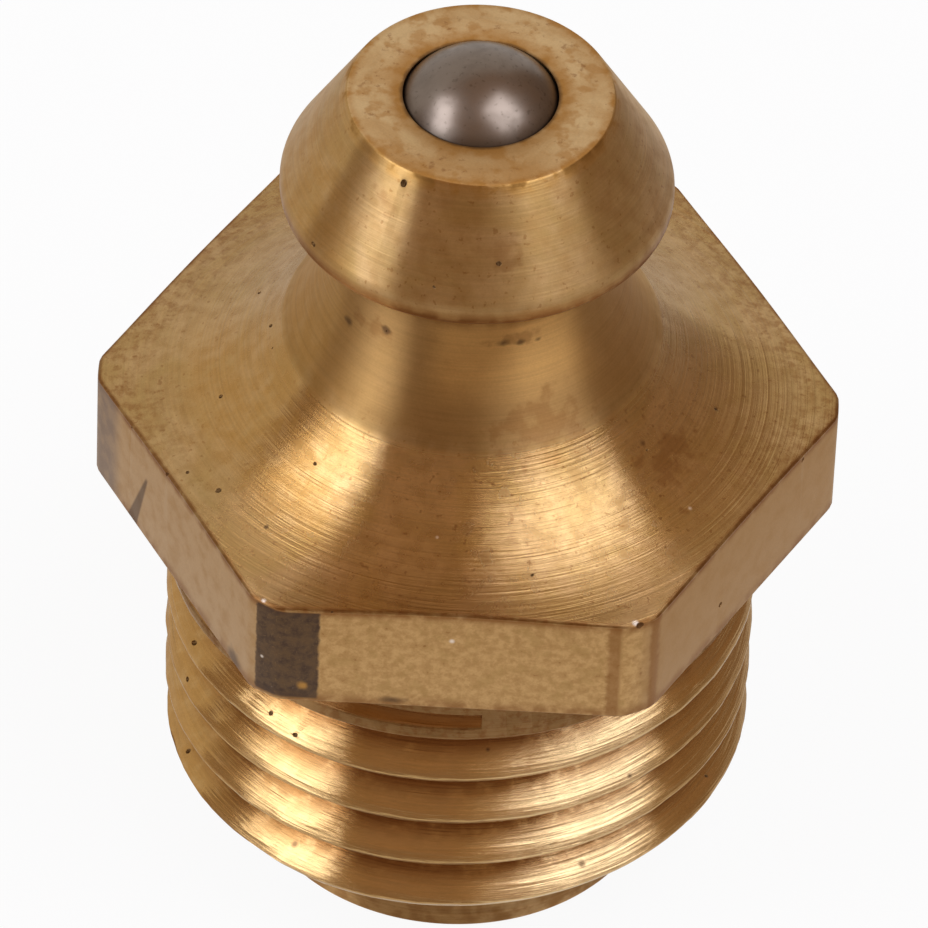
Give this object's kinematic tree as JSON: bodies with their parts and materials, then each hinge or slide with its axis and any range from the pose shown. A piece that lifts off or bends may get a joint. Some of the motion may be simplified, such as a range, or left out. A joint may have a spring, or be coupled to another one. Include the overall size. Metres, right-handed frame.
{
  "type": "grease nipple",
  "caption": "Straight cone-head grease nipple turned from brass hexagon bar, with a threaded shank and a spring-loaded steel ball closing the orifice in its head.",
  "frame": {"origin": "on the axis, in the plane of the hexagon's underside, which seats on the machine", "axes": "+Z along the axis towards the grease orifice; two of the hexagon's flats face -Y and +Y"},
  "size_m": [0.0124, 0.011, 0.0167],
  "materials": {
    "brass": "turned, tarnished",
    "ball_steel": "polished, darkened with grease",
    "spring_steel": "drawn wire"
  },
  "bodies": {
    "nipple": {"body": "brass", "spring": "spring_steel"},
    "ball": {"check_ball": "ball_steel"}
  },
  "joints": [
    {"name": "ball_lift", "type": "slide", "parent": "nipple", "child": "ball", "axis": [0, 0, -1], "range_m": [0, 0.001], "stiffness_N_per_m": 730, "springref_m": -0.0005, "deforming": ["spring"]}
  ]
}
